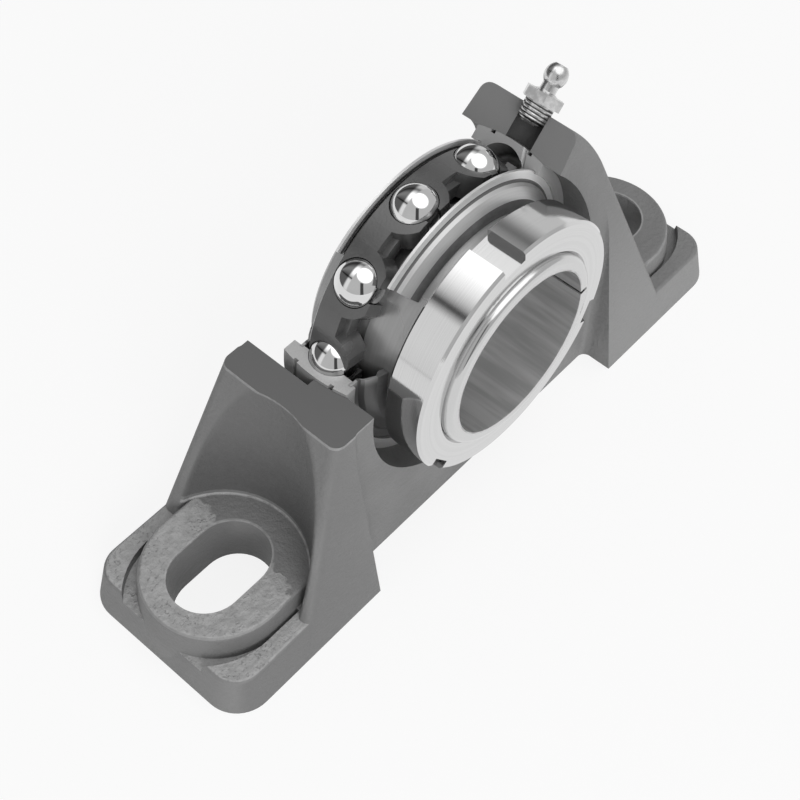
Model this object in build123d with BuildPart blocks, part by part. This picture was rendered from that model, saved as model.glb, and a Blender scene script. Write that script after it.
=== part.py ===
from build123d import *
import math
import os

# A cast pillow block with a ball bearing insert, cut open to show its inside. Millimetres.
# The base rests on Z = 0, the shaft runs along Y at shaft_height, and the collar faces -Y.

# Mounting sizes of the block
base_length = 206.0
base_width = 58.0
shaft_height = 57.2
bolt_spacing = 159.0
slot_radius = 10.4
slot_straight = 8.9

# Casting
foot_corner = 10.0
foot_side_lean = 2.2
foot_end_lean = 2.9
pad_height = 12.0
moat_floor = 9.0
moat_middle = 84.4
moat_radius = 21.9
moat_start = 73.0
boss_middle = 80.5
boss_radius = 20.2
boss_height = 17.4
boss_draft = 7.0
ring_wall = 9.5
flank_angle = 21.6
face_draft = 8.5
outline_round = 3.0
scoop_rim_round = 1.2
pad_round = 1.2
recess_half_length = 50.0
recess_half_width = 19.4
recess_corner = 2.5
scoop_start = 5.0
scoop_radius = 22.4
scoop_draft = 4.0
scoop_shift = 1.0

# Spherical seat of the insert, its mouths and the two slots that the insert is loaded through
insert_wall = 8.1
seat_clearance = 0.03
mouth_lip = 1.3
loading_gap = 0.3
loading_depth = 2.3
loading_stop = 1.0

# Cut-away window: one level cut beside the shaft, and one slanted cut through the grease hole
window_angle = 45.0
casting_cut_rise = 5.0
insert_cut_rise = 5.8
seal_cut_angle = 130.5

# Rolling set
ball_count = 10
ball_diameter = 12.7
pitch_radius = 35.5
first_ball_angle = 64.1
ball_clearance = 0.02
groove_radius = 6.6

# Outer ring
outer_ring_width = 21.0
shoulder_rise = 2.9
outer_lip_rise = 3.8
rear_outer_lip_rise = 3.1
seal_groove_rise = 4.4
rear_seal_groove_rise = 3.5
front_seal_plane = 8.8
rear_seal_plane = 7.6
seal_sheet = 0.7
relief_offset = 5.9
relief_width = 1.3
relief_depth = 0.8
lube_hole_radius = 0.8
lube_hole_count = 3
lube_hole_offset = 3.9
lube_hole_slant = 20.0

# Inner ring and its slit extension
bore_radius = 23.81
land_drop = 4.9
inner_rear = 13.1
collar_seat = 17.4
extension_wall = 3.79
extension_front = 30.9
slit_width = 1.2
slit_end = 21.5
slit_angle = 5.5
edge_break = 0.8

# Locking collar
collar_wall = 8.95
collar_width = 11.5
collar_clearance = 0.05
collar_chamfer = 0.7
spanner_slot_count = 3
spanner_slot_width = 7.3
spanner_slot_depth = 2.9
spanner_slot_angle = 96.5

# Cage
cage_rise = 2.6
cage_drop = 3.5
cage_rear = 6.6
cage_web_front = 0.7
cage_step_rise = 0.2
cage_step_front = 2.4
cage_edge_break = 0.5
pocket_clearance = 0.15
prong_radius = 9.2
prong_setback = 1.2
prong_reach = 6.3
prong_gap = 4.4

# Seals
seal_rim_clearance = 0.1
shield_flat = 2.8
shield_step_run = 0.9
lip_width = 2.8
shield_step = 1.3
shield_dish = 2.9
rear_shield_step = 0.8
rear_shield_dish = 1.9
lip_clearance = 0.1
lip_thickness = 1.2
lip_toe_spread = 0.4
lip_heel_root = 0.6
lip_heel_toe = 0.2

# Grease nipple and its hole
hole_radius = 4.0
nipple_offset = 1.6
thread_clearance = 0.02
shank_gap = 5.6
shank_chamfer = 1.4
hex_rise = 1.7
hex_height = 2.8
hex_across_flats = 9.8
collar_step = 1.2
collar_slope = 0.6
neck_radius = 2.2
neck_height = 2.4
head_radius = 3.1
head_height = 5.3
head_nose = 0.5
valve_seat_depth = 0.6
valve_seat_rise = 0.3
valve_mouth_radius = 0.85
valve_ball_radius = 1.12
valve_ball_clearance = 0.08
valve_ball_gap = 0.01
duct_mouth_radius = 0.6
duct_mouth_height = 0.8
spring_wire_radius = 0.14
spring_side_gap = 0.06
spring_end_gap = 0.02
spring_turns = 4

# Values that follow from the sizes above
ball_radius = ball_diameter / 2
insert_radius = pitch_radius + insert_wall
mouth_radius = insert_radius - mouth_lip
ring_radius = insert_radius + ring_wall
outer_shoulder_radius = pitch_radius + shoulder_rise
outer_lip_radius = pitch_radius + outer_lip_rise
rear_outer_lip_radius = pitch_radius + rear_outer_lip_rise
seal_groove_radius = pitch_radius + seal_groove_rise
rear_seal_groove_radius = pitch_radius + rear_seal_groove_rise
land_radius = pitch_radius - land_drop
extension_radius = bore_radius + extension_wall
collar_radius = extension_radius + collar_wall
cage_radius = pitch_radius + cage_rise
cage_inner_radius = pitch_radius - cage_drop
cage_step_radius = pitch_radius + cage_step_rise
shield_dish_radius = land_radius + lip_width
shank_end = insert_radius + shank_gap
hex_bottom = ring_radius + hex_rise
shaft_centre = (0, 0, shaft_height)
shaft_axis = Axis(shaft_centre, (0, 1, 0))
profile_plane = Plane(origin=shaft_centre, x_dir=(0, 1, 0), z_dir=(1, 0, 0))
front_view = Plane(origin=shaft_centre, x_dir=(1, 0, 0), z_dir=(0, -1, 0))
side_view = Plane(origin=(0, 0, 0), x_dir=(0, 1, 0), z_dir=(1, 0, 0))
window_reach = 4 * ring_radius
block_top = shaft_height + ring_radius
seal_gap_end = 180 - math.degrees(math.asin(insert_cut_rise / outer_lip_radius))
radial_x = math.sin(math.radians(window_angle))
radial_z = math.cos(math.radians(window_angle))
nipple_origin = (0, -nipple_offset, shaft_height)
nipple_axis = Axis(nipple_origin, (radial_x, 0, radial_z))
nipple_plane = Plane(origin=nipple_origin, x_dir=(0, 1, 0), z_dir=(radial_z, 0, -radial_x))
across_nipple = Plane(origin=nipple_origin, x_dir=(0, 1, 0), z_dir=(radial_x, 0, radial_z))

os.makedirs("parts", exist_ok=True)


def around_shaft(radius, angle, along=0.0):
    """Point at a radius and an angle about the shaft, measured from +X towards +Z."""
    turn = math.radians(angle)
    return (radius * math.cos(turn), along, shaft_height + radius * math.sin(turn))


def window_outline(rise):
    """Front-view outline of what is cut away: above the level cut, up to the slanted cut."""
    run = math.tan(math.radians(window_angle))
    start = (rise * run, rise)
    Polyline(start, (window_reach * run, window_reach), (-window_reach, window_reach),
             (-window_reach, rise), start)


def save(part, name):
    part.label = name
    export_step(part, f"parts/{name}.step")


# Uprights and ring of the casting: the front outline, drafted front and back, rounded along its edges
flank = math.radians(flank_angle)
flank_start = (ring_radius * math.cos(flank), shaft_height + ring_radius * math.sin(flank))
flank_foot = flank_start[0] + flank_start[1] * math.tan(flank)
wedge_top = block_top + outline_round
wedge_half_top = base_width / 2 - wedge_top * math.tan(math.radians(face_draft))

with BuildPart() as upright:
    with BuildSketch(Plane(origin=(0, 0, 0), x_dir=(1, 0, 0), z_dir=(0, -1, 0))):
        with Locations((0, shaft_height)):
            Circle(ring_radius)
        with BuildLine():
            Polyline((-flank_foot, 0), (flank_foot, 0), flank_start, (-flank_start[0], flank_start[1]),
                     (-flank_foot, 0))
        make_face()
    extrude(amount=base_width / 2, both=True)
    with BuildSketch(side_view):
        with BuildLine():
            Polyline((-base_width / 2, 0), (base_width / 2, 0), (wedge_half_top, wedge_top),
                     (-wedge_half_top, wedge_top), (-base_width / 2, 0))
        make_face()
    extrude(amount=base_length / 2, both=True, mode=Mode.INTERSECT)
    raised_edges = upright.edges().filter_by(lambda e: e.center().Z > scoop_start)
    outline_edges = raised_edges.filter_by(lambda e: abs(e.center().Y) > outline_round)
    fillet(outline_edges, radius=outline_round)
    # Scoops in the ends, which leave room for the heads of the bolts
    with BuildSketch(Plane.XY.offset(scoop_start)):
        with Locations((-boss_middle, -scoop_shift), (boss_middle, -scoop_shift)):
            Circle(scoop_radius)
    extrude(amount=block_top, taper=-scoop_draft, mode=Mode.SUBTRACT)
    curved_edges = upright.edges(Select.LAST).filter_by(lambda e: e.geom_type != GeomType.LINE)
    rim_edges = curved_edges.filter_by(lambda e: e.center().Z > pad_height)
    fillet(rim_edges, radius=scoop_rim_round)

# Bolt bosses: drafted, round outwards and straight inwards, their ends bulging out of the feet
boss_foot_radius = boss_radius + boss_height * math.tan(math.radians(boss_draft))
with BuildPart() as bosses:
    with BuildSketch():
        with Locations((-boss_middle, 0), (boss_middle, 0)):
            Circle(boss_foot_radius)
        Rectangle(2 * boss_middle, 2 * boss_foot_radius)
    extrude(amount=boss_height, taper=boss_draft)
    fillet(bosses.faces().sort_by(Axis.Z)[-1].edges(), radius=pad_round)

# Plate with a moat round each boss, open at the end of the foot
with BuildPart() as feet:
    with BuildSketch():
        RectangleRounded(base_length, base_width, foot_corner)
    with BuildSketch(Plane.XY.offset(pad_height)):
        top_length = base_length - 2 * foot_end_lean
        top_width = base_width - 2 * foot_side_lean
        RectangleRounded(top_length, top_width, foot_corner - foot_side_lean)
    loft(ruled=True)
    fillet(feet.faces().sort_by(Axis.Z)[-1].edges(), radius=pad_round)
    with BuildSketch(Plane.XY.offset(moat_floor)):
        with Locations((-moat_middle, 0), (moat_middle, 0)):
            Circle(moat_radius)
        Rectangle(2 * moat_middle, 2 * moat_radius)
        Rectangle(2 * moat_start, base_width, mode=Mode.SUBTRACT)
    extrude(amount=pad_height, mode=Mode.SUBTRACT)
    add(bosses.part)

with BuildPart() as housing:
    add(feet.part)
    add(upright.part)
    # Recess between the feet, front and back
    with BuildSketch(Plane.XY):
        recess_depth = base_width / 2 - recess_half_width
        with Locations((0, recess_half_width + recess_depth), (0, -recess_half_width - recess_depth)):
            RectangleRounded(2 * recess_half_length, 2 * recess_depth, recess_corner)
    extrude(amount=block_top, mode=Mode.SUBTRACT)
    # Bolt slots
    with BuildSketch():
        with Locations((-bolt_spacing / 2, 0), (bolt_spacing / 2, 0)):
            SlotCenterToCenter(slot_straight, 2 * slot_radius)
    extrude(amount=2 * boss_height, mode=Mode.SUBTRACT)
    # Spherical seat between two round mouths
    seat_radius = insert_radius + seat_clearance
    seat_edge = math.sqrt(seat_radius ** 2 - mouth_radius ** 2)
    with BuildSketch(profile_plane):
        with BuildLine():
            Polyline((-seat_edge, mouth_radius), (-base_width, mouth_radius), (-base_width, 0),
                     (base_width, 0), (base_width, mouth_radius), (seat_edge, mouth_radius))
            ThreePointArc((seat_edge, mouth_radius), (0, seat_radius), (-seat_edge, mouth_radius))
        make_face()
    revolve(axis=shaft_axis, mode=Mode.SUBTRACT)
    # Loading slots, open to the back, as wide as the insert
    with BuildSketch(front_view.offset(loading_stop)):
        Circle(insert_radius + loading_depth)
        Rectangle(base_length, outer_ring_width + 2 * loading_gap, mode=Mode.INTERSECT)
    extrude(amount=-base_width, mode=Mode.SUBTRACT)
    # Grease hole, open to the seat
    with BuildSketch(across_nipple.offset(pitch_radius)):
        Circle(hole_radius)
    extrude(amount=ring_radius, mode=Mode.SUBTRACT)
    # Cut-away window
    with BuildSketch(front_view):
        with BuildLine():
            window_outline(casting_cut_rise)
        make_face()
    extrude(amount=base_width, both=True, mode=Mode.SUBTRACT)
save(housing.part, "housing")

# Outer ring: spherical outside, ball groove, seal grooves, cut open like the casting
half_ring = outer_ring_width / 2
ring_face_radius = math.sqrt(insert_radius ** 2 - half_ring ** 2)
outer_groove_centre = pitch_radius + ball_radius + ball_clearance - groove_radius
relief_reach = relief_depth + insert_radius - math.sqrt(insert_radius ** 2 - relief_offset ** 2)
with BuildPart() as outer_ring:
    with BuildSketch(profile_plane):
        with BuildLine():
            ThreePointArc((-half_ring, ring_face_radius), (0, insert_radius), (half_ring, ring_face_radius))
            Polyline((half_ring, ring_face_radius), (half_ring, outer_shoulder_radius),
                     (-half_ring, outer_shoulder_radius), (-half_ring, ring_face_radius))
        make_face()
        with Locations((0, outer_groove_centre)):
            Circle(groove_radius, mode=Mode.SUBTRACT)
        ring_sides = ((-1, front_seal_plane, seal_groove_radius, outer_lip_radius),
                      (1, rear_seal_plane, rear_seal_groove_radius, rear_outer_lip_radius))
        for side, plane, groove, lip_radius in ring_sides:
            seal_middle = plane + seal_sheet / 2
            with Locations((side * seal_middle, groove / 2)):
                Rectangle(seal_sheet + 2 * seal_rim_clearance, groove, mode=Mode.SUBTRACT)
            with Locations((side * (seal_middle + half_ring) / 2, lip_radius / 2)):
                Rectangle(half_ring - seal_middle, lip_radius, mode=Mode.SUBTRACT)
            with Locations((side * relief_offset, insert_radius)):
                Rectangle(relief_width, 2 * relief_reach, mode=Mode.SUBTRACT)
    revolve(axis=shaft_axis)
    # Slanted grease holes
    for index in range(lube_hole_count):
        turn = math.radians(window_angle + index * 360 / lube_hole_count)
        outward = Vector(math.sin(turn), 0, math.cos(turn))
        slant = math.radians(lube_hole_slant)
        direction = outward * math.cos(slant) + Vector(0, math.sin(slant), 0)
        mouth = Vector(*shaft_centre) + outward * insert_radius + Vector(0, -lube_hole_offset, 0)
        with BuildSketch(Plane(origin=mouth, z_dir=direction)):
            Circle(lube_hole_radius)
        extrude(amount=insert_radius - outer_shoulder_radius, both=True, mode=Mode.SUBTRACT)
    with BuildSketch(front_view):
        with BuildLine():
            window_outline(insert_cut_rise)
        make_face()
    extrude(amount=base_width, both=True, mode=Mode.SUBTRACT)
save(outer_ring.part, "outer_ring")

# Inner ring: ball groove between two lands, and a thinner slit extension that the collar closes
inner_groove_centre = pitch_radius - ball_radius - ball_clearance + groove_radius
with BuildPart() as inner_ring:
    with BuildSketch(profile_plane):
        with BuildLine():
            Polyline((inner_rear, bore_radius), (inner_rear, land_radius), (-collar_seat, land_radius),
                     (-collar_seat, extension_radius), (-extension_front, extension_radius),
                     (-extension_front, bore_radius), (inner_rear, bore_radius))
        make_face()
        front_corner = vertices().group_by(Axis.X)[0].sort_by(Axis.Y)
        fillet(front_corner[-1], radius=2 * edge_break)
        rear_corners = vertices().group_by(Axis.X)[-1]
        chamfer(rear_corners, length=edge_break)
        with Locations((0, inner_groove_centre)):
            Circle(groove_radius, mode=Mode.SUBTRACT)
    revolve(axis=shaft_axis)
    slit_length = extension_front - slit_end
    slit_direction = (math.cos(math.radians(slit_angle)), 0, math.sin(math.radians(slit_angle)))
    slit_middle = around_shaft(extension_radius, slit_angle, -extension_front + slit_length / 2)
    with BuildSketch(Plane(origin=slit_middle, x_dir=(0, 1, 0), z_dir=slit_direction)):
        Rectangle(slit_length, slit_width)
    extrude(amount=2 * (extension_radius - bore_radius), both=True, mode=Mode.SUBTRACT)
save(inner_ring.part, "inner_ring")

# Locking collar: a flat ring with spanner slots round its edge
with BuildPart() as locking_collar:
    with BuildSketch(profile_plane):
        collar_bore = extension_radius + collar_clearance
        with Locations((-collar_seat - collar_width / 2, (collar_radius + collar_bore) / 2)):
            Rectangle(collar_width, collar_radius - collar_bore)
        chamfer(vertices(), length=collar_chamfer)
    revolve(axis=shaft_axis)
    with BuildSketch(front_view.offset(collar_seat)):
        for index in range(spanner_slot_count):
            turn = math.radians(spanner_slot_angle + index * 360 / spanner_slot_count)
            place = collar_radius * Vector(math.cos(turn), math.sin(turn))
            with Locations(Location((place.X, place.Y, 0), (0, 0, math.degrees(turn)))):
                Rectangle(2 * spanner_slot_depth, spanner_slot_width)
    extrude(amount=collar_width, mode=Mode.SUBTRACT)
save(locking_collar.part, "locking_collar")

# Balls
ball_angles = [first_ball_angle + index * 360 / ball_count for index in range(ball_count)]
for index, angle in enumerate(ball_angles):
    with BuildPart() as ball:
        with Locations(around_shaft(pitch_radius, angle)):
            Sphere(ball_radius)
    save(ball.part, f"ball_{index + 1:02d}")

# Cage: a moulded crown with a ball pocket between each pair of prongs
with BuildPart() as cage_limits:
    with BuildSketch(profile_plane):
        with Locations(((cage_rear - prong_reach) / 2, (cage_radius + cage_inner_radius) / 2)):
            Rectangle(cage_rear + prong_reach, cage_radius - cage_inner_radius)
        chamfer(vertices().group_by(Axis.X)[-1], length=cage_edge_break)
    revolve(axis=shaft_axis)
with BuildPart() as cage:
    for angle in ball_angles:
        out = (math.cos(math.radians(angle)), 0, math.sin(math.radians(angle)))
        prong_centre = around_shaft(bore_radius, angle, prong_setback)
        with BuildSketch(Plane(origin=prong_centre, x_dir=(0, 1, 0), z_dir=out)):
            Circle(prong_radius)
        extrude(amount=cage_radius)
    add(cage_limits.part, mode=Mode.INTERSECT)
    with BuildSketch(profile_plane):
        with Locations(((cage_rear - cage_web_front) / 2, (cage_radius + cage_inner_radius) / 2)):
            Rectangle(cage_rear + cage_web_front, cage_radius - cage_inner_radius)
        with Locations(((cage_rear - cage_step_front) / 2, (cage_step_radius + cage_inner_radius) / 2)):
            Rectangle(cage_rear + cage_step_front, cage_step_radius - cage_inner_radius)
        rear_corners = vertices().group_by(Axis.X)[-1].sort_by(Axis.Y)
        chamfer([rear_corners[0], rear_corners[-1]], length=cage_edge_break)
    revolve(axis=shaft_axis)
    for angle in ball_angles:
        with Locations(around_shaft(pitch_radius, angle)):
            Sphere(ball_radius + pocket_clearance, mode=Mode.SUBTRACT)
        out = (math.cos(math.radians(angle)), 0, math.sin(math.radians(angle)))
        mouth = around_shaft(pitch_radius, angle, -prong_reach)
        with BuildSketch(Plane(origin=mouth, x_dir=(0, 1, 0), z_dir=out)):
            Rectangle(ball_radius, prong_gap)
        extrude(amount=2 * (cage_radius - pitch_radius), both=True, mode=Mode.SUBTRACT)
save(cage.part, "cage")


def seal_sector():
    """Front-view outline of the stretch of each seal that is cut away."""
    turns = [math.radians(angle) for angle in (seal_cut_angle, (seal_cut_angle + seal_gap_end) / 2)]
    far = [(window_reach * math.cos(turn), window_reach * math.sin(turn)) for turn in turns]
    start = (insert_cut_rise / math.tan(turns[0]), insert_cut_rise)
    Polyline(start, far[0], far[1], (-window_reach, insert_cut_rise), start)


# Seals: a dished steel shield in the outer ring's groove, with a rubber lip on the land
seal_sides = ((-1, "front", front_seal_plane, seal_groove_radius, shield_step, shield_dish),
              (1, "rear", rear_seal_plane, rear_seal_groove_radius, rear_shield_step, rear_shield_dish))
for side, name, inner_face, groove, step, dish in seal_sides:
    shield_rim_radius = groove - seal_rim_clearance
    shield_step_radius = shield_rim_radius - shield_flat
    shield_knee_radius = shield_step_radius - shield_step_run
    with BuildPart() as shield:
        with BuildSketch(profile_plane):
            with BuildLine():
                inner_line = [(shield_rim_radius, inner_face), (shield_step_radius, inner_face),
                              (shield_knee_radius, inner_face + step),
                              (shield_dish_radius, inner_face + dish)]
                outer_line = [(r, y + seal_sheet) for r, y in reversed(inner_line)]
                corners = [(side * y, r) for r, y in inner_line + outer_line]
                Polyline(*corners, corners[0])
            make_face()
        revolve(axis=shaft_axis)
        with BuildSketch(front_view):
            with BuildLine():
                seal_sector()
            make_face()
        extrude(amount=base_width, both=True, mode=Mode.SUBTRACT)
    save(shield.part, f"{name}_seal_shield")
    with BuildPart() as lip:
        with BuildSketch(profile_plane):
            with BuildLine():
                heel = inner_face + dish
                toe = land_radius + lip_clearance
                middle = (shield_dish_radius + toe) / 2
                lip_line = [(shield_dish_radius, heel), (shield_dish_radius, heel + seal_sheet),
                            (middle, heel + lip_thickness), (toe, heel + lip_thickness + lip_toe_spread),
                            (toe, heel - lip_heel_toe), (middle, heel - lip_heel_root)]
                corners = [(side * y, r) for r, y in lip_line]
                Polyline(*corners, corners[0])
            make_face()
        revolve(axis=shaft_axis)
        with BuildSketch(front_view):
            with BuildLine():
                seal_sector()
            make_face()
        extrude(amount=base_width, both=True, mode=Mode.SUBTRACT)
    save(lip.part, f"{name}_seal_lip")

# Grease nipple: shank, hexagon, neck and coupling head, drilled through for the valve
shank_radius = hole_radius - thread_clearance
duct_radius = valve_ball_radius + valve_ball_clearance
hex_top = hex_bottom + hex_height
neck_top = hex_top + neck_height
head_top = neck_top + head_height
head_middle = neck_top + head_height / 2
nose_start = head_top - head_nose
valve_seat = head_top - valve_seat_depth
spring_floor = shank_end + duct_mouth_height
with BuildPart() as grease_nipple:
    with BuildSketch(nipple_plane):
        with BuildLine():
            Polyline((0, shank_end), (shank_radius - shank_chamfer, shank_end),
                     (shank_radius, shank_end + shank_chamfer), (shank_radius, hex_bottom),
                     (neck_radius + collar_step, hex_bottom), (neck_radius + collar_step, hex_top),
                     (neck_radius, hex_top + collar_slope), (neck_radius, neck_top))
            ThreePointArc((neck_radius, neck_top), (head_radius, head_middle), (neck_radius, nose_start))
            Polyline((neck_radius, nose_start), (neck_radius - head_nose, head_top), (0, head_top),
                     (0, shank_end))
        make_face()
    revolve(axis=nipple_axis)
    with BuildSketch(across_nipple.offset(hex_bottom)):
        RegularPolygon(hex_across_flats / 2, 6, major_radius=False)
    extrude(amount=hex_height)
    with BuildSketch(nipple_plane):
        with BuildLine():
            Polyline((0, shank_end), (duct_mouth_radius, shank_end), (duct_mouth_radius, spring_floor),
                     (duct_radius, spring_floor), (duct_radius, valve_seat - valve_seat_rise),
                     (valve_mouth_radius, valve_seat), (valve_mouth_radius, head_top), (0, head_top),
                     (0, shank_end))
        make_face()
    revolve(axis=nipple_axis, mode=Mode.SUBTRACT)
save(grease_nipple.part, "grease_nipple")

# Valve ball just under its conical seat
seat_run = duct_radius - valve_mouth_radius
seat_slant = math.hypot(seat_run, valve_seat_rise)
valve_reach = valve_ball_radius + valve_ball_gap
valve_drop = (valve_reach * seat_slant - valve_mouth_radius * valve_seat_rise) / seat_run
valve_middle = valve_seat - valve_drop
with BuildPart() as nipple_check_ball:
    with Locations((valve_middle * radial_x, -nipple_offset, shaft_height + valve_middle * radial_z)):
        Sphere(valve_ball_radius)
save(nipple_check_ball.part, "nipple_check_ball")

# Coil spring between the floor of the duct and the valve ball
coil_radius = duct_radius - spring_side_gap - spring_wire_radius
wire_reach = valve_ball_radius + spring_wire_radius + spring_end_gap
coil_top = valve_middle - math.sqrt(wire_reach ** 2 - coil_radius ** 2)
coil_bottom = spring_floor + spring_wire_radius + spring_end_gap
coil_height = coil_top - coil_bottom
coil_start = (coil_bottom * radial_x, -nipple_offset, shaft_height + coil_bottom * radial_z)
with BuildPart() as nipple_spring:
    with BuildLine():
        coil_direction = (radial_x, 0, radial_z)
        coil = Helix(coil_height / spring_turns, coil_height, coil_radius, coil_start, coil_direction)
    with BuildSketch(Plane(origin=coil @ 0, z_dir=coil % 0)):
        Circle(spring_wire_radius)
    sweep(path=coil, is_frenet=True)
save(nipple_spring.part, "nipple_spring")
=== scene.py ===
import math

import bpy
from mathutils import Matrix, Vector

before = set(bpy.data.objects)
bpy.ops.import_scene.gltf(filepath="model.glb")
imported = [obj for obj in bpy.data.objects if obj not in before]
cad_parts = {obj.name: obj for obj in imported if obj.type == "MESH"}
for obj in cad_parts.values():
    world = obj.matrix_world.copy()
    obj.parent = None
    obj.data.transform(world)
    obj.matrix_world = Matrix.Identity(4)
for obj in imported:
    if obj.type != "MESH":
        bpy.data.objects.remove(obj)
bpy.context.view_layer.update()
mm = 0.001
shaftHeight = 57.2
print("frame loaded:", len(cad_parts), "nodes")


class Wire:  # one output of a shader node, which adds Math nodes when it is used in an expression
    def __init__(self, graph, socket):
        self.graph, self.socket = graph, socket

    def maths(self, operation, other=0.0):
        return self.graph.maths(operation, self, other)

    def __add__(self, other):
        return self.maths("ADD", other)

    def __sub__(self, other):
        return self.maths("SUBTRACT", other)

    def __rsub__(self, other):
        return self.graph.maths("SUBTRACT", other, self)

    def __mul__(self, other):
        return self.maths("MULTIPLY", other)

    def __truediv__(self, other):
        return self.maths("DIVIDE", other)

    def __rtruediv__(self, other):
        return self.graph.maths("DIVIDE", other, self)

    def __gt__(self, other):
        return self.maths("GREATER_THAN", other)

    def __lt__(self, other):
        return self.maths("LESS_THAN", other)

    __radd__ = __add__
    __rmul__ = __mul__

    def away(self):  # distance from zero
        return self.maths("ABSOLUTE")

    def hypot(self, other):  # length of two sides at a right angle
        return (self * self + other * other).maths("SQRT")

    def within(self, low, high):  # 1 between two limits, 0 outside them
        return (self > low) * (self < high)

    def fade(self, low, high, start=0.0, end=1.0):  # smooth step from start to end
        values = {"Value": self, "From Min": low, "From Max": high, "To Min": start, "To Max": end}
        return self.graph.node("ShaderNodeMapRange", {"interpolation_type": "SMOOTHSTEP"}, values)

    def drop(self, low, high):  # smooth step from 1 to 0
        return self.fade(low, high, 1.0, 0.0)


class Graph:  # the nodes of one material or of the world
    def __init__(self, owner):
        owner.use_nodes = True
        self.tree = owner.node_tree
        self.tree.nodes.clear()

    def node(self, kind, settings=None, values=None, output=0):
        made = self.tree.nodes.new(kind)
        for key, value in (settings or {}).items():
            if key == "stops":
                setStops(made.color_ramp, value)
            else:
                setattr(made, key, value)
        for key, value in (values or {}).items():
            if isinstance(value, Wire):
                self.tree.links.new(value.socket, made.inputs[key])
            else:
                made.inputs[key].default_value = value
        return Wire(self, made.outputs[output]) if made.outputs else None

    def maths(self, operation, first, second):
        return self.node("ShaderNodeMath", {"operation": operation}, {0: first, 1: second})

    def split(self, vector):
        part = self.node("ShaderNodeSeparateXYZ", None, {0: vector})
        return [Wire(self, socket) for socket in part.socket.node.outputs]

    def join(self, x, y):  # two values as a place for a noise
        return self.node("ShaderNodeCombineXYZ", None, {0: x, 1: y, 2: 0.0})

    def coords(self):  # the place on the piece, in metres
        return self.node("ShaderNodeTexCoord", output="Object")

    def place(self, coords):  # the same in millimetres, with z from the shaft's axis
        x, y, z = (part * 1000.0 for part in self.split(coords))
        return x, y, z - shaftHeight

    def facing(self):  # the surface's direction on the piece
        return self.split(self.node("ShaderNodeTexCoord", output="Normal"))

    def noise(self, coords, scale, detail, roughness):
        values = {"Vector": coords, "Scale": scale, "Detail": detail, "Roughness": roughness}
        return self.node("ShaderNodeTexNoise", None, values)

    def blend(self, factor, first, second):  # of two colours, which are the Mix node's inputs 6 and 7
        values = {0: factor, 6: grey(first), 7: grey(second)}
        return self.node("ShaderNodeMix", {"data_type": "RGBA"}, values, output=2)

    def bump(self, height, strength, distance):
        values = {"Height": height, "Strength": strength, "Distance": distance}
        return self.node("ShaderNodeBump", None, values)

    def shader(self, **values):
        named = {key.replace("_", " "): value for key, value in values.items()}
        return self.node("ShaderNodeBsdfPrincipled", None, named)

    def surface(self, shader):
        self.node("ShaderNodeOutputMaterial", None, {"Surface": shader})


def setStops(ramp, stops):
    while len(ramp.elements) > 1:
        ramp.elements.remove(ramp.elements[-1])
    for index, (position, level) in enumerate(stops):
        stop = ramp.elements[0] if index == 0 else ramp.elements.new(position)
        stop.position = position
        stop.color = grey(level)


def grey(level):  # a number as Blender's four, or a link as it is
    return level if isinstance(level, Wire) else (level, level, level, 1)


def newMaterial(name, build):
    material = bpy.data.materials.new(name)
    build(Graph(material))
    return material


def dress(material, *nodes):  # gives a material to CAD pieces
    for node in nodes:
        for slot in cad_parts[node].material_slots:
            slot.material = material


# Camera, from the perspective of the feet, the ring and the bore in the photograph: degrees, and millimetres
camera = {"azimuth": 49.189, "elevation": 54.176, "roll": 1.248, "aim": (0, 0, 40), "shiftRight": -7.082,
          "shiftUp": -18.494, "distance": 408.072, "lens": 68.883, "sensor": 36, "nearest": 10, "farthest": 50000}


def makeCamera():
    turn, rise, roll = (math.radians(camera[key]) for key in ("azimuth", "elevation", "roll"))
    forward = Vector((math.sin(turn) * math.cos(rise), math.cos(turn) * math.cos(rise), -math.sin(rise)))
    level = Vector((math.cos(turn), -math.sin(turn), 0))
    above = level.cross(forward)
    right = level * math.cos(roll) + above * math.sin(roll)
    up = above * math.cos(roll) - level * math.sin(roll)
    spot = Vector(camera["aim"]) + right * camera["shiftRight"] + up * camera["shiftUp"]
    spot -= forward * camera["distance"]
    data = bpy.data.cameras.new("camera")
    data.lens, data.sensor_width = camera["lens"], camera["sensor"]
    data.clip_start, data.clip_end = camera["nearest"] * mm, camera["farthest"] * mm
    made = bpy.data.objects.new("camera", data)
    bpy.context.scene.collection.objects.link(made)
    made.matrix_world = Matrix.Translation(spot * mm) @ Matrix((right, up, -forward)).transposed().to_4x4()
    bpy.context.scene.camera = made


makeCamera()
print("camera placed")

# Studio. Surfaces get an even room light, and the camera sees white. Metal sees lit walls on the far side, with
# dark gaps between them: stops of a ramp that goes round the shaft from +X (0) over the top to -X (1). On the
# near side it sees an even level, a round skylight over the bearing and a dark doorway below that.
studio = {
    "roomLight": 0.42,
    "walls": ((0.0, 0.72), (0.14, 0.74), (0.19, 0.5), (0.225, 0.28), (0.25, 0.2), (0.275, 0.3), (0.3, 0.46),
              (0.345, 0.85), (0.39, 1.3), (0.44, 1.75), (0.51, 1.75), (0.56, 1.45), (0.6, 1.2), (0.65, 0.75),
              (0.675, 0.4), (0.69, 0.08), (0.7, 0.08), (0.725, 0.6), (0.745, 0.92), (0.9, 0.93), (1.0, 0.88)),
    "farEnd": {"edge": (0.46, 0.62), "level": 0.14},
    "nearSide": {"edge": (0.2, 0.3), "level": 0.6},
    "skylight": {"towards": (0.201, -0.301, 0.933), "edge": (0.80, 0.87), "level": 1.75},
    "doorway": {"middle": 0.15, "edge": (0.09, 0.14), "below": -0.62, "level": 0.12}}
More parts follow.
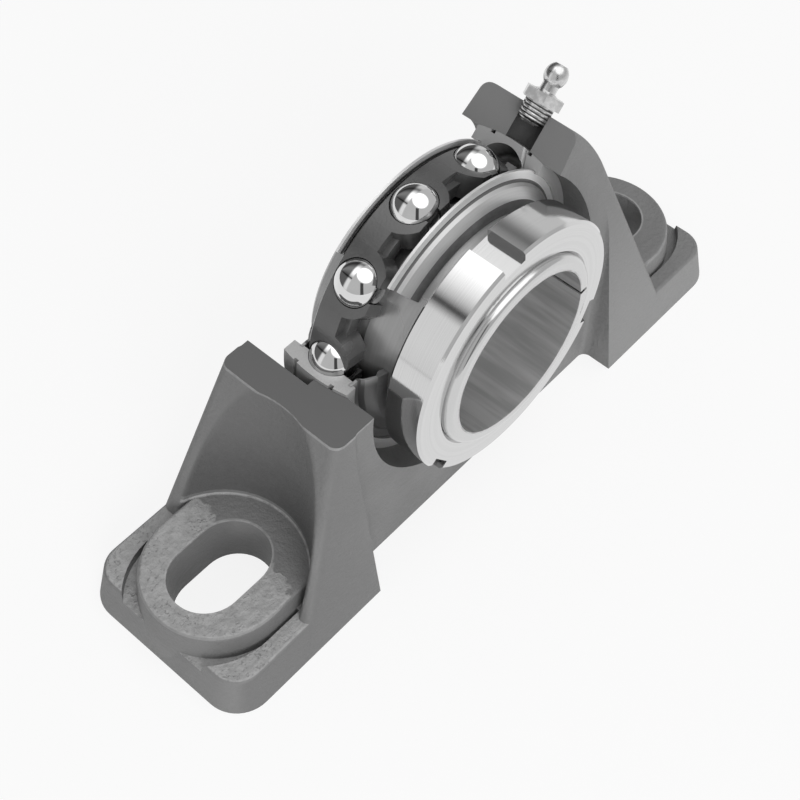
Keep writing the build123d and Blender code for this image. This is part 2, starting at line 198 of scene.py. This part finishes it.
softboxes = {
    "overhead": {"towards": (0.22, -0.16, 0.96), "distance": 2.0, "size": (1.05, 1.05), "level": 3.0},
    "front": {"towards": (-0.50, -0.78, 0.38), "distance": 2.2, "size": (1.6, 1.2), "level": 4.4}}
seenRays = ("Is Camera Ray", "Is Glossy Ray", "Is Transmission Ray")  # what is seen straight or in metal


def isRay(graph, *kinds):  # 1 for a ray of one of these kinds, 0 for others
    found = 0.0
    for kind in kinds:
        found = graph.node("ShaderNodeLightPath", output=kind).maths("MAXIMUM", found)
    return found


def makeWorld():
    world = bpy.data.worlds.new("studio")
    bpy.context.scene.world = world
    graph = Graph(world)
    x, y, z = graph.split(graph.node("ShaderNodeTexCoord", output="Generated"))
    farEnd, nearSide, skylight, doorway = (studio[key] for key in ("farEnd", "nearSide", "skylight", "doorway"))
    around = z.maths("ARCTAN2", x) / math.pi
    walls = graph.node("ShaderNodeValToRGB", {"stops": studio["walls"]}, {"Fac": around})
    walls = walls * y.fade(*farEnd["edge"], 1.0, farEnd["level"])
    overX, overY, overZ = skylight["towards"]
    overhead = x * overX + y * overY + z * overZ
    near = overhead.fade(*skylight["edge"], nearSide["level"], skylight["level"])
    turn = math.radians(camera["azimuth"])
    across = (x * math.cos(turn) - y * math.sin(turn) - doorway["middle"]).away()
    ahead = (x * math.sin(turn) + y * math.cos(turn)) < doorway["below"]
    near = near * (1 - across.drop(*doorway["edge"]) * ahead * (1 - doorway["level"]))
    far = y.fade(*nearSide["edge"])
    colour = graph.blend(isRay(graph, *seenRays), studio["roomLight"], near * (1 - far) + walls * far)
    colour = graph.blend(isRay(graph, "Is Camera Ray"), colour, 1.0)
    light = graph.node("ShaderNodeBackground", None, {"Color": colour, "Strength": 1.0})
    graph.node("ShaderNodeOutputWorld", None, {"Surface": light})


def makeSoftbox(name, box):
    width, height = box["size"]
    data = bpy.data.lights.new(name, "AREA")
    data.shape = "RECTANGLE"
    data.size, data.size_y = width, height
    data.energy = box["level"] * math.pi * width * height
    made = bpy.data.objects.new(name, data)
    made.visible_glossy = False
    bpy.context.scene.collection.objects.link(made)
    towards = Vector(box["towards"]).normalized()
    side = Vector((0, 1, 0)).cross(towards).normalized()
    spot = towards * box["distance"] + Vector((0, 0, shaftHeight * mm))
    turned = Matrix((side, towards.cross(side), towards)).transposed().to_4x4()
    made.matrix_world = Matrix.Translation(spot) @ turned


makeWorld()
for boxName, boxSettings in softboxes.items():
    makeSoftbox(boxName, boxSettings)

# Floor: a pale sheet that keeps the object's shadow and is close to white where it is seen
sheet = {"size": 6.0, "dark": 0.85, "light": 0.87, "cloud": (3.0, 2.0, 0.5), "edge": (0.3, 0.7), "glow": 0.85}


def floorFinish(graph):
    tone = graph.noise(graph.coords(), *sheet["cloud"]).fade(*sheet["edge"], sheet["dark"], sheet["light"])
    paper = graph.node("ShaderNodeBsdfDiffuse", None, {"Color": tone})
    glow = graph.node("ShaderNodeEmission", None, {"Color": grey(1), "Strength": 1.0})
    share = isRay(graph, *seenRays) * sheet["glow"]
    graph.surface(graph.node("ShaderNodeMixShader", None, {0: share, 1: paper, 2: glow}))


def makeFloor():
    half = sheet["size"] / 2
    mesh = bpy.data.meshes.new("floor")
    mesh.from_pydata([(-half, -half, 0), (half, -half, 0), (half, half, 0), (-half, half, 0)], [], [(0, 1, 2, 3)])
    mesh.materials.append(newMaterial("paleFloor", floorFinish))
    floor = bpy.data.objects.new("floor", mesh)
    bpy.context.scene.collection.objects.link(floor)


makeFloor()
bpy.context.scene.view_settings.view_transform = "Standard"
print("studio lit")

# The finishes below use greys, and millimetres from the middle of the shaft's axis. Three numbers in brackets
# are a noise's scale, detail and roughness. Two are the ends of a range, or a bump's strength and distance.

# Cut faces, which the housing, the outer ring and the shields have in common
cuts = {"rise": 5.0, "levelDepth": (0.02, 0.05), "levelFacing": 0.97, "slantDepth": (0.03, 0.08),
        "slantFacing": 1.38}


def cutFaces(x, z, facing):  # masks of the level cut on the left, of the slanted cut, and of both
    level = (z - cuts["rise"]).away().drop(*cuts["levelDepth"]) * (facing[2] > cuts["levelFacing"]) * (x < 0.0)
    slanted = (z - x).away().drop(*cuts["slantDepth"]) * ((facing[2] - facing[0]) > cuts["slantFacing"])
    return level, slanted, (level + slanted).fade(0.0, 1.0)


# Grease hole, at 45 degrees over the right shoulder. Its wall on the casting is painted near black as painted
# shade
greaseHole = {"lean": math.sqrt(0.5), "offset": 1.6, "radius": 4.1, "wall": 0.06}


def alongHole(x, y, z):  # height on the grease hole's axis, distance from it and turn round it
    across, ahead = (x - z) * greaseHole["lean"], y + greaseHole["offset"]
    return (x + z) * greaseHole["lean"], across.hypot(ahead), ahead.maths("ARCTAN2", across)


# Casting: grey paint over a sand-cast skin, bare and pitted on the left foot, smooth where it is cut open. Light
# and shade are painted onto it: the left foot's level tops are painted lighter up to a painted shadow edge, the
# front faces are painted paler towards the right foot and a little darker on the left one, the scoops' walls are
# painted darker as shade, and edges get painted highlights.
casting = {
    "skin": {"light": 0.21, "dark": 0.185, "grain": (900.0, 3.0, 0.6), "lumps": (420.0, 3.0, 0.55),
             "patches": (45.0, 3.0, 0.5), "change": (0.35, 0.65), "grainHeight": 0.45, "lumpHeight": 0.4,
             "bump": (0.5, 0.0012), "roughness": 0.6},
    # front: pale and dull are painted light and painted shade on the faces that look towards -Y
    "front": {"facing": (-0.9, -0.6), "pale": 0.26, "paintedLightAlong": (15.0, 60.0), "paintedLightBelow": (-50.0, 25.0),
              "dull": 0.165, "paintedShadeAlong": (-70.0, -35.0)},
    "foot": {"top": -38.0, "bottom": -56.0, "facing": (0.8, 0.95), "inner": 74.0},
    "boss": {"middle": 80.5, "edge": (19.7, 20.4), "top": (-40.4, -39.6), "paintedHighlight": 0.4},
    "slot": {"middle": 79.5, "half": 4.45, "edge": (10.7, 11.1), "paintedHighlight": 0.6},
    # scoop: low, high, rise and least set the painted shade on the scoops' walls
    "scoop": {"shift": 1.0, "foot": -52.2, "growth": 0.07, "wall": (22.4, 23.4), "behind": -4.0,
              "facing": (0.3, 0.6), "low": 0.095, "high": 0.135, "rise": (-30.0, -8.0), "least": 0.75},
    "scoopFoot": {"radius": 22.5, "edge": (0.3, 0.6), "height": (-40.1, -39.1), "paintedHighlight": 0.9},
    # bare: bare metal and painted light on the left foot's tops; end is the painted shadow edge
    "bareAndLit": {"colour": 0.39, "end": (-73.0, -71.0), "byPatches": 26.0, "byLumps": 10.0, "least": 0.68,
             "lumpHeight": 0.6},
    "pits": {"spots": (1100.0, 2.0, 0.6), "size": (0.33, 0.43), "groups": (130.0, 2.0, 0.5),
             "grouping": (0.44, 0.62), "between": 0.12, "share": 0.4, "shade": 0.7, "depth": 0.8},
    # edge: colour of the painted highlights; the shares on the boss, slot, scoop foot and cut set their strength
    "edge": {"colour": 0.42, "lumps": (0.25, 0.6), "least": 0.4},
    "cut": {"level": 0.12, "slanted": 0.185, "roughness": 0.42, "edge": 4.3, "facing": (0.9, 0.97), "paintedHighlight": 0.5}}


def castingFinish(graph):
    skin, front, foot, boss, slot, scoop, scoopFoot, bareAndLit, pits, edge, cut = casting.values()
    coords = graph.coords()
    x, y, z = graph.place(coords)
    facing = graph.facing()
    ny, nz = facing[1:]
    levelCut, slantedCut, anyCut = cutFaces(x, z, facing)
    grain, lumps, patches = (graph.noise(coords, *skin[key]) for key in ("grain", "lumps", "patches"))
    groups = graph.noise(coords, *pits["groups"]).fade(*pits["grouping"], pits["between"], 1.0)
    spots = graph.noise(coords, *pits["spots"]).drop(*pits["size"]) * groups
    # Distances from the middle of each boss, of its slot and of the scoop behind it
    fromMiddle = x.away()
    side = fromMiddle - boss["middle"]
    fromBoss = side.hypot(y)
    fromSlot = ((fromMiddle - slot["middle"]).away() - slot["half"]).maths("MAXIMUM").hypot(y)
    fromScoop = side.hypot(y + scoop["shift"]) - (z - scoop["foot"]) * scoop["growth"]
    # Areas: the scoops, and the left foot's level tops, which are bare metal and painted lighter as painted
    # light, with a ragged end at a painted shadow edge
    paintedScoopShadeMask = fromScoop.drop(*scoop["wall"]) * (side < scoop["behind"]) * (z > foot["top"])
    paintedScoopShadeMask = paintedScoopShadeMask * (1 - nz.fade(*scoop["facing"]))
    levelTop = nz.fade(*foot["facing"]) * (z < foot["top"]) * (1 - (z < foot["bottom"]))
    ragged = x + (patches - 0.5) * bareAndLit["byPatches"] + (lumps - 0.5) * bareAndLit["byLumps"]
    bareAndLitTop = levelTop * ragged.drop(*bareAndLit["end"])
    rise, fromHole = alongHole(x, y, z)[:2]
    hole = (fromHole < greaseHole["radius"]) * (rise > 0.0)
    # Painted highlights on edges: round a boss, its slot and the scoop's foot, and along the level cut
    onBoss = z.within(*boss["top"])
    bossEdge = fromBoss.within(*boss["edge"]) * onBoss * (fromMiddle > foot["inner"])
    slotEdge = fromSlot.drop(*slot["edge"]) * onBoss
    scoopEdge = (fromScoop - scoopFoot["radius"]).away().drop(*scoopFoot["edge"]) * (fromMiddle < foot["inner"])
    scoopEdge = scoopEdge * z.within(*scoopFoot["height"])
    cutEdge = (z > cut["edge"]) * (x < 0.0) * (1 - nz.fade(*cut["facing"]))
    paintedHighlight = (bossEdge * boss["paintedHighlight"] + scoopEdge * scoopFoot["paintedHighlight"] + slotEdge * slot["paintedHighlight"]
            + cutEdge * cut["paintedHighlight"]).fade(0.0, 1.0)
    # Colours, one over the other
    colour = graph.blend(patches.fade(*skin["change"]), skin["dark"], skin["light"])
    # Painted light and shade on the front faces: paler towards the right foot, a little darker on the left one
    onFront = 1 - ny.fade(*front["facing"])
    pale = onFront * x.fade(*front["paintedLightAlong"]) * z.drop(*front["paintedLightBelow"])
    colour = graph.blend(pale, colour, front["pale"])
    colour = graph.blend(onFront * x.drop(*front["paintedShadeAlong"]), colour, front["dull"])
    # Painted shade: the scoops' walls are painted darker, darkest towards the bottom
    shade = graph.blend(z.fade(*scoop["rise"]), scoop["low"], scoop["high"])
    colour = graph.blend(paintedScoopShadeMask * (scoop["least"] + lumps * (1 - scoop["least"])), colour, shade)
    # Bare metal and painted light: the left foot's level tops are painted lighter up to a painted shadow edge
    bareAndLitShare = lumps.fade(*skin["change"]) * (1 - bareAndLit["least"]) + bareAndLit["least"]
    colour = graph.blend(bareAndLitTop * bareAndLitShare, colour, bareAndLit["colour"])
    colour = graph.blend(spots * bareAndLitTop * pits["share"], colour, skin["dark"] * pits["shade"])
    # Painted highlight: the edges round the bosses, slots, scoops' feet and the level cut are painted lighter
    colour = graph.blend(paintedHighlight * lumps.fade(*edge["lumps"], edge["least"], 1.0), colour, edge["colour"])
    colour = graph.blend(levelCut, colour, cut["level"])
    colour = graph.blend(slantedCut, colour, cut["slanted"])
    # Painted shade: the grease hole's wall is painted near black
    colour = graph.blend(hole * (1 - anyCut), colour, greaseHole["wall"])
    # Height of the skin, which is flat on the cuts
    height = grain * skin["grainHeight"] + lumps * (bareAndLitTop * bareAndLit["lumpHeight"] + skin["lumpHeight"])
    height = (height - spots * bareAndLitTop * pits["depth"]) * (1 - anyCut)
    roughness = anyCut * (cut["roughness"] - skin["roughness"]) + skin["roughness"]
    graph.surface(graph.shader(Base_Color=colour, Roughness=roughness, Metallic=0.0,
                               Normal=graph.bump(height, *skin["bump"])))


dress(newMaterial("paintedCasting", castingFinish), "housing")

# Rings and collar: steel, with the fine lines that turning leaves round the shaft
turning = {"lines": (1.0, 2.0, 0.6), "smudge": (60.0, 2.0, 0.5), "change": (0.3, 0.7), "depth": 0.0001}
outerRing = {"colour": 0.50, "lineShade": 0.92, "spacing": 2.0, "strength": 0.08, "roughness": (0.3, 0.36),
             "metal": 0.45, "cut": 0.33, "cutRoughness": 0.1}
innerRing = {"colour": 0.40, "lineShade": 0.92, "spacing": 2.0, "strength": 0.08, "roughness": (0.26, 0.32),
             "metal": 0.6}
bore = {"radius": 24.2, "colour": 0.56, "stripes": (2.0, 3.0, 0.6), "perTurn": 3.0, "along": 0.01,
        "change": (0.35, 0.65), "stripeShade": 0.7, "rougher": 0.06}
nose = {"start": -24.5, "colour": 0.62, "smoother": 0.12}  # the inner ring's end, in front of the collar
collar = {"colour": 0.66, "lineShade": 0.94, "spacing": 4.0, "strength": 0.10, "roughness": (0.07, 0.11)}


def turnedLines(graph, radius, y, spacing):  # on faces and on cylinders
    return graph.noise(graph.join(radius * spacing, y * spacing), *turning["lines"])


def turnedFinish(graph, piece, coords, radius, y):  # colour, roughness and bump of a turned piece
    lines = turnedLines(graph, radius, y, piece["spacing"])
    colour = graph.blend(lines.fade(*turning["change"]), piece["colour"] * piece["lineShade"], piece["colour"])
    roughness = graph.noise(coords, *turning["smudge"]).fade(*turning["change"], *piece["roughness"])
    return colour, roughness, graph.bump(lines, piece["strength"], turning["depth"])


def outerRingFinish(graph):
    coords = graph.coords()
    x, y, z = graph.place(coords)
    colour, roughness, bump = turnedFinish(graph, outerRing, coords, x.hypot(z), y)
    cut = cutFaces(x, z, graph.facing())[2]
    graph.surface(graph.shader(Base_Color=graph.blend(cut, colour, outerRing["cut"]),
                               Roughness=roughness + cut * outerRing["cutRoughness"],
                               Metallic=(1 - cut) * outerRing["metal"], Normal=bump))


def innerRingFinish(graph):
    coords = graph.coords()
    x, y, z = graph.place(coords)
    radius = x.hypot(z)
    colour, roughness, bump = turnedFinish(graph, innerRing, coords, radius, y)
    # Stripes along the bore, which the reamer left
    turn = z.maths("ARCTAN2", x) * bore["perTurn"]
    stripes = graph.noise(graph.join(turn, y * bore["along"]), *bore["stripes"]).fade(*bore["change"])
    striped = graph.blend(stripes, bore["colour"] * bore["stripeShade"], bore["colour"])
    inBore = radius < bore["radius"]
    onNose = (y < nose["start"]) * (1 - inBore)
    colour = graph.blend(onNose, graph.blend(inBore, colour, striped), nose["colour"])
    roughness = roughness + inBore * bore["rougher"] - onNose * nose["smoother"]
    metal = onNose * (1 - innerRing["metal"]) + innerRing["metal"]
    graph.surface(graph.shader(Base_Color=colour, Roughness=roughness, Metallic=metal, Normal=bump))


def collarFinish(graph):
    coords = graph.coords()
    x, y, z = graph.place(coords)
    colour, roughness, bump = turnedFinish(graph, collar, coords, x.hypot(z), y)
    graph.surface(graph.shader(Base_Color=colour, Roughness=roughness, Metallic=1.0, Normal=bump))


dress(newMaterial("turnedOuterRing", outerRingFinish), "outer_ring")
dress(newMaterial("turnedInnerRing", innerRingFinish), "inner_ring")
dress(newMaterial("turnedCollar", collarFinish), "locking_collar")

# Balls: mirror polish with a trace of haze
balls = {"count": 10, "haze": (220.0, 2.0, 0.5), "change": (0.3, 0.7), "dark": 0.70, "light": 0.74,
         "roughness": (0.03, 0.06)}
ballNames = [f"ball_{index:02d}" for index in range(1, balls["count"] + 1)]


def ballFinish(graph):
    haze = graph.noise(graph.coords(), *balls["haze"])
    graph.surface(graph.shader(Base_Color=graph.blend(haze.fade(*balls["change"]), balls["dark"], balls["light"]),
                               Roughness=haze.fade(*balls["change"], *balls["roughness"]), Metallic=1.0))


dress(newMaterial("polishedBall", ballFinish), *ballNames, "nipple_check_ball")

# Cage: dark moulded polymer with a slight sheen
cage = {"dark": 0.062, "light": 0.085, "cloud": (90.0, 3.0, 0.5), "change": (0.3, 0.7), "roughness": (0.2, 0.28),
        "specular": 0.9, "grain": (1500.0, 2.0, 0.5), "bump": (0.15, 0.0002)}


def cageFinish(graph):
    coords = graph.coords()
    cloud = graph.noise(coords, *cage["cloud"])
    grain = graph.noise(coords, *cage["grain"])
    graph.surface(graph.shader(Base_Color=graph.blend(cloud.fade(*cage["change"]), cage["dark"], cage["light"]),
                               Roughness=cloud.fade(*cage["change"], *cage["roughness"]), Metallic=0.0,
                               Specular_IOR_Level=cage["specular"], Normal=graph.bump(grain, *cage["bump"])))


dress(newMaterial("mouldedCage", cageFinish), "cage")

# Shields: pressed sheet steel. Painted light and shade: the rim is painted bright as a highlight, the step line
# painted dark as shade, and the sheet is painted black as shade below the level cut on the left
shield = {"rim": 0.85, "dish": 0.56, "change": (0.3, 0.7), "lineShare": (0.0, 0.15), "lineShade": 0.3,
          "spacing": 2.0, "step": 0.1, "stepStart": 36.7, "stepEnd": 37.5, "paintedSheetShade": 0.07, "paintedSheetShadeTop": (3.0, 9.0),
          "cut": 0.45, "metal": 0.55, "roughness": (0.28, 0.36), "bump": (0.1, 0.0001)}


def shieldFinish(graph):
    x, y, z = graph.place(graph.coords())
    cut = cutFaces(x, z, graph.facing())[2]
    radius = x.hypot(z)
    lines = turnedLines(graph, radius, y, shield["spacing"])
    # Painted highlight: the rim beyond the step is painted brighter than the dish
    colour = graph.blend(radius > shield["stepEnd"], shield["dish"], shield["rim"])
    colour = graph.blend(lines.fade(*shield["change"], *shield["lineShare"]), colour, shield["lineShade"])
    step = radius.within(shield["stepStart"], shield["stepEnd"])
    paintedSheetShadeMask = z.drop(*shield["paintedSheetShadeTop"]) * (x < 0.0) * (1 - cut)
    # Painted shade: the step line is painted dark
    colour = graph.blend(step, colour, shield["step"])
    # Painted shade: the sheet below the level cut on the left is painted black and not metallic there
    colour = graph.blend(paintedSheetShadeMask, colour, shield["paintedSheetShade"])
    colour = graph.blend(cut, colour, shield["cut"])
    graph.surface(graph.shader(Base_Color=colour, Roughness=lines.fade(*shield["change"], *shield["roughness"]),
                               Metallic=(1 - paintedSheetShadeMask) * (1 - step) * shield["metal"],
                               Normal=graph.bump(lines, *shield["bump"])))


# Lips: black rubber
lip = {"dark": 0.104, "light": 0.13, "grain": (800.0, 2.0, 0.5), "change": (0.3, 0.7), "roughness": (0.5, 0.62),
       "bump": (0.2, 0.0002)}


def lipFinish(graph):
    grain = graph.noise(graph.coords(), *lip["grain"])
    graph.surface(graph.shader(Base_Color=graph.blend(grain.fade(*lip["change"]), lip["dark"], lip["light"]),
                               Roughness=grain.fade(*lip["change"], *lip["roughness"]), Metallic=0.0,
                               Normal=graph.bump(grain, *lip["bump"])))


dress(newMaterial("pressedSheet", shieldFinish), "front_seal_shield", "rear_seal_shield")
dress(newMaterial("sealRubber", lipFinish), "front_seal_lip", "rear_seal_lip")

# Grease nipple: zinc plate, slightly cloudy, with the thread on its shank; the thread's grooves are painted dark
# as painted shade
nipple = {"dull": 0.54, "zinc": 0.70, "cloud": (400.0, 3.0, 0.6), "change": (0.35, 0.65),
          "roughness": (0.34, 0.24), "cloudHeight": 0.2, "bump": (0.3, 0.0003)}
# thread: groove is the colour of the painted shade in the thread's grooves
thread = {"along": (49.5, 54.6), "pitch": 1.0, "radius": 4.2, "groove": 0.1, "grooveEdge": (0.4, 0.9),
          "height": 2.0}


def nippleFinish(graph):
    coords = graph.coords()
    cloud = graph.noise(coords, *nipple["cloud"])
    rise, fromAxis, turn = alongHole(*graph.place(coords))
    turns = rise / thread["pitch"] + turn / (2 * math.pi)
    ridge = (turns * (2 * math.pi)).maths("SINE") * 0.5 + 0.5
    onThread = rise.within(*thread["along"]) * (fromAxis < thread["radius"])
    colour = graph.blend(cloud.fade(*nipple["change"]), nipple["dull"], nipple["zinc"])
    # Painted shade: the thread's grooves are painted dark
    colour = graph.blend(onThread * (1 - ridge).fade(*thread["grooveEdge"]), colour, thread["groove"])
    height = cloud * nipple["cloudHeight"] + onThread * ridge * thread["height"]
    graph.surface(graph.shader(Base_Color=colour, Roughness=cloud.fade(*nipple["change"], *nipple["roughness"]),
                               Metallic=1.0, Normal=graph.bump(height, *nipple["bump"])))


dress(newMaterial("zincPlate", nippleFinish), "grease_nipple", "nipple_spring")
print("finishes made")
